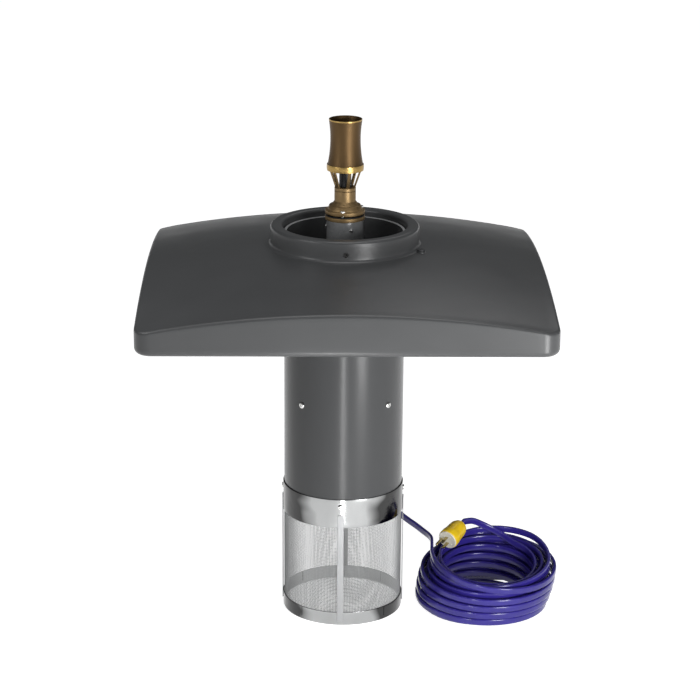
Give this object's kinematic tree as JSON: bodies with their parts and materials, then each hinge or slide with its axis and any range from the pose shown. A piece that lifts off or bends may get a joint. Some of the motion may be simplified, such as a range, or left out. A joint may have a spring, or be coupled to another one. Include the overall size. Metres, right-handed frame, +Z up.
{
  "type": "floating pond aerator",
  "caption": "Floating aerator: square moulded float around a shroud tube, submersible pump inside, mesh strainer below, swivelling cascade nozzle on top, coiled flat lead with plug",
  "frame": {"origin": "On the axis of the shroud tube, at the underside of the strainer, where the aerator stands on a floor.", "axes": "+Z up along the tube towards the nozzle's mouth, -Y the front seen in the picture, +X the side on which the coiled lead lies."},
  "size_m": [0.7595, 0.714, 0.928],
  "materials": {
    "pvc": "smooth grey rigid pipe with a soft sheen",
    "float": "rotomoulded dark grey, satin",
    "foam": "closed-cell foam",
    "stopper": "moulded dark grey",
    "screw": "bright stainless screws",
    "steel_band": "bright polished stainless sheet",
    "mesh": "bright woven wire",
    "bronze": "dark bronze casting",
    "rubber": "black rubber",
    "seat": "white low-friction plastic",
    "bronze_bright": "turned and polished bronze",
    "black_plastic": "black moulded",
    "casting": "painted grey",
    "stage_plastic": "moulded tan",
    "stainless": "drawn stainless sheet",
    "shaft": "ground shaft",
    "laminated": "stacked dark sheet",
    "copper": "varnished wire",
    "lead": "glossy blue-violet flat lead",
    "plug": "yellow moulded",
    "plug_front": "off-white moulded",
    "contact": "plated brass"
  },
  "bodies": {
    "hull": {"shroud_tube": "pvc", "float_shell": "float", "foam_core": "foam", "fill_plug": "stopper", "collar_screws": "screw", "strainer_band": "steel_band", "strainer_mesh": "mesh", "strainer_floor": "mesh", "strainer_straps": "steel_band", "base_ring": "steel_band", "band_screws": "screw", "discharge_pipe": "pvc", "nozzle_socket": "bronze", "socket_screws": "screw", "flange_gasket": "rubber", "clamp_ring": "bronze", "clamp_bolts": "screw", "lower_spider": "casting", "spider_screws": "screw", "upper_spider": "casting", "discharge_head": "stage_plastic", "top_bearing": "rubber", "pump_shell": "stainless", "diffusers": "stage_plastic", "intake_bracket": "stage_plastic", "intake_screen": "stainless", "motor_shell": "stainless", "motor_top_cap": "stainless", "motor_bottom_cap": "stainless", "stator_core": "laminated", "stator_windings": "copper", "upper_bearing": "black_plastic", "lower_bearing": "black_plastic", "thrust_bearing": "black_plastic", "shaft_seal": "rubber", "motor_lead": "lead", "lead_connector": "rubber", "cord_gland": "black_plastic", "gland_nut": "black_plastic", "strain_relief": "rubber", "supply_lead": "lead", "lead_coil": "lead", "lead_tail": "lead", "plug_body": "plug", "plug_face": "plug_front", "plug_blades": "contact", "plug_pin": "contact"},
    "rotor": {"rotor_core": "laminated", "motor_shaft": "shaft", "shaft_coupling": "stainless", "pump_shaft": "shaft", "impellers": "stage_plastic"},
    "seat": {"ball_seat": "seat"},
    "nozzle": {"nozzle_ball": "bronze_bright", "nozzle_legs": "bronze", "jet_tube": "black_plastic", "nozzle_sleeve": "bronze"}
  },
  "joints": [
    {"name": "rotor_spin", "type": "hinge", "parent": "hull", "child": "rotor", "pos_m": [0, 0, 0.4], "axis": [0, 0, 1], "continuous": true},
    {"name": "nozzle_turn", "type": "hinge", "parent": "hull", "child": "seat", "pos_m": [0, 0, 0.761], "axis": [0, 0, 1], "continuous": true},
    {"name": "nozzle_tilt", "type": "hinge", "parent": "seat", "child": "nozzle", "pos_m": [0, 0, 0.761], "axis": [1, 0, 0], "range_deg": [-10, 10]}
  ]
}
